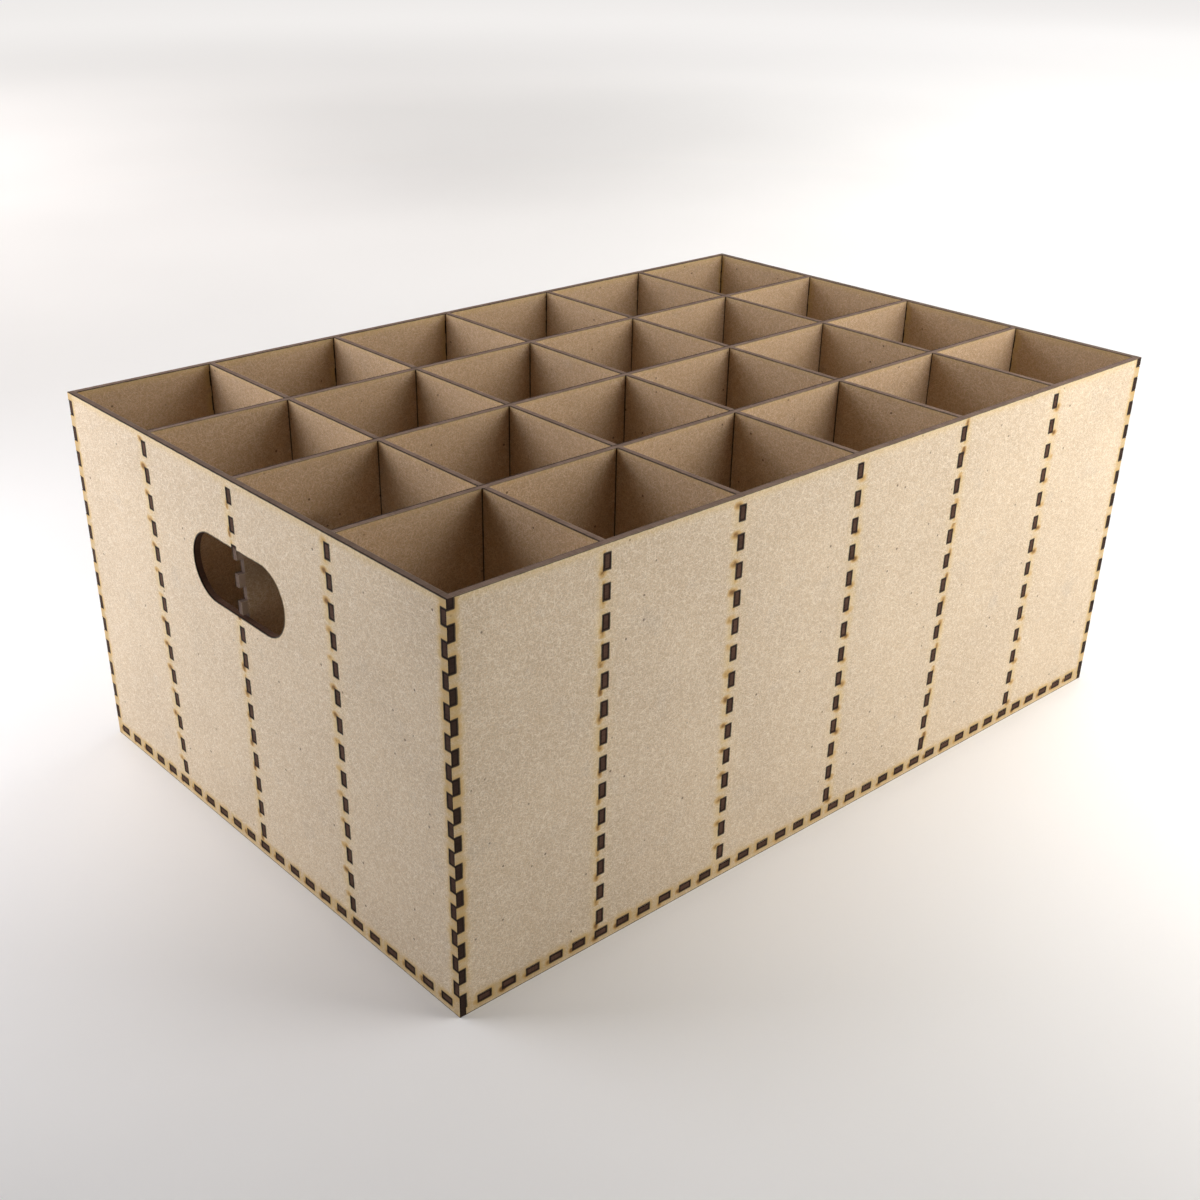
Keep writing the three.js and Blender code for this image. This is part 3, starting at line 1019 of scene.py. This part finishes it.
FLOOR_SIZE = 30.0
FLOOR_PALE = (0.910, 0.920, 0.930, 1.0)
FLOOR_SHADE = (0.890, 0.900, 0.910, 1.0)
FLOOR_CLOUD_SCALE = 3.0
FLOOR_ROUGHNESS = (0.5, 0.6)
FLOOR_BUMP = 0.02
FLOOR_GLOSS = 0.3
FLOOR_UNLIT = (0.0, 0.0, 0.0, 1.0)
FLOOR_GLOW = (0.544, 0.526, 0.513, 1.0)
FAR_GLOW = (0.844, 0.822, 0.807, 1.0)
GLOW_MIDDLE = 0.3
GLOW_START = 0.85
GLOW_FULL = 2.2
NEAR_GLOW_START = 0.42
NEAR_GLOW_FULL = 0.95
FAR_GLOW_START = 1.7
FAR_GLOW_FULL = 3.4


def pale_floor():
    """A wide pale floor under the crate, lit from below away from it, like a light table."""
    half = FLOOR_SIZE / 2
    mesh = bpy.data.meshes.new("pale_floor")
    points = [(-half, -half, 0), (half, -half, 0), (half, half, 0), (-half, half, 0)]
    mesh.from_pydata(points, [], [(0, 1, 2, 3)])
    ground = bpy.data.objects.new("pale_floor", mesh)
    bpy.context.scene.collection.objects.link(ground)
    material, m = material_bench("pale floor")
    place = m.add("ShaderNodeTexCoord", None, None, "Object")
    clouds = m.noise(place, FLOOR_CLOUD_SCALE)
    colour = m.blend(clouds, FLOOR_SHADE, FLOOR_PALE)
    x, y, _ = place.parts()
    away = ((x - GLOW_MIDDLE) ** 2 + (y - GLOW_MIDDLE) ** 2).root()
    near = (-x).most(-y).ramp(NEAR_GLOW_START, NEAR_GLOW_FULL)
    glow = m.blend(away.ramp(GLOW_START, GLOW_FULL).most(near), FLOOR_UNLIT, FLOOR_GLOW)
    glow = m.blend(away.ramp(FAR_GLOW_START, FAR_GLOW_FULL), glow, FAR_GLOW)
    roughness = clouds.ramp(*WIDE_NOISE, *FLOOR_ROUGHNESS)
    finish_surface(m, colour, roughness, clouds, FLOOR_BUMP, FLOOR_GLOSS, glow)
    mesh.materials.append(material)


def softbox(name, place, target, size, power, colour, spread=180):
    """A square soft light aimed at a point. A grid narrows the spread of its light."""
    light = bpy.data.lights.new(name, "AREA")
    light.shape = "SQUARE"
    light.size = size
    light.energy = power
    light.color = colour
    light.spread = radians(spread)
    lamp = bpy.data.objects.new(name, light)
    lamp.location = place
    lamp.visible_camera = False
    lamp.rotation_euler = (Vector(target) - Vector(place)).to_track_quat("-Z", "Y").to_euler()
    bpy.context.scene.collection.objects.link(lamp)


def pale_surround(colour):
    """A pale colour beyond the floor. It is seen, and lights nothing."""
    world = bpy.data.worlds.new("pale surround")
    bpy.context.scene.world = world
    world.use_nodes = True
    world.node_tree.nodes.clear()
    w = Bench(world.node_tree)
    light = w.add("ShaderNodeBackground", None, {"Color": colour})
    w.add("ShaderNodeOutputWorld", None, {"Surface": light})
    world.cycles_visibility.diffuse = False
    world.cycles_visibility.glossy = False


CAMERA_PLACE = Vector((-0.4719, -0.4985, 0.3878))
CAMERA_HEADING = radians(41.006)
CAMERA_DIP = radians(28.851)
CAMERA_ROLL = radians(0.387)
CAMERA_LENS = 45.384
CAMERA_SENSOR = 36.0
CAMERA_CLIP = 0.01
CAMERA_SHIFT = (0.0323, 0.0720)


def photo_camera():
    """The camera where the photographer stood."""
    camera = bpy.data.cameras.new("photo_camera")
    camera.lens = CAMERA_LENS
    camera.sensor_width = CAMERA_SENSOR
    camera.shift_x, camera.shift_y = CAMERA_SHIFT
    camera.clip_start = CAMERA_CLIP
    eye = bpy.data.objects.new("photo_camera", camera)
    turn = (
        Matrix.Rotation(-CAMERA_HEADING, 4, "Z")
        @ Matrix.Rotation(pi / 2 - CAMERA_DIP, 4, "X")
        @ Matrix.Rotation(CAMERA_ROLL, 4, "Z")
    )
    eye.matrix_world = Matrix.Translation(CAMERA_PLACE) @ turn
    bpy.context.scene.collection.objects.link(eye)
    bpy.context.scene.camera = eye


# The softboxes: place, point aimed at, size, power, colour and, under a grid, spread in degrees

SOFTBOXES = {
    "right_softbox": ((0.33, -0.49, 0.38), (0.21, -0.1, 0.09), 0.52, 2.71, (1.0, 0.952, 0.916), 155),
    "left_softbox": ((-0.53, 0.38, 0.32), (-0.15, 0.20, 0.09), 0.50, 1.85, (1.0, 0.971, 0.994), 130),
    "overhead_softbox": ((0.1, 0.1, 1.3), (0.1, 0.1, 0.0), 1.2, 3.10, (0.989, 1.0, 0.981)),
    "right_backdrop_softbox": ((1.45, 0.25, 0.9), (1.45, 0.25, 0.0), 1.3, 18.5, (1.0, 0.956, 0.910)),
    "far_backdrop_softbox": ((2.6, 1.0, 1.2), (2.6, 1.0, 0.0), 1.8, 2.93, (1.0, 1.0, 0.994), 120),
    "left_backdrop_softbox": ((-0.1, 1.6, 0.9), (-0.1, 1.6, 0.0), 1.3, 15.4, (1.0, 0.936, 0.903)),
}

pale_floor()
for name, settings in SOFTBOXES.items():
    softbox(name, *settings)
pale_surround(FAR_GLOW)
photo_camera()
bpy.context.scene.view_settings.view_transform = "Standard"
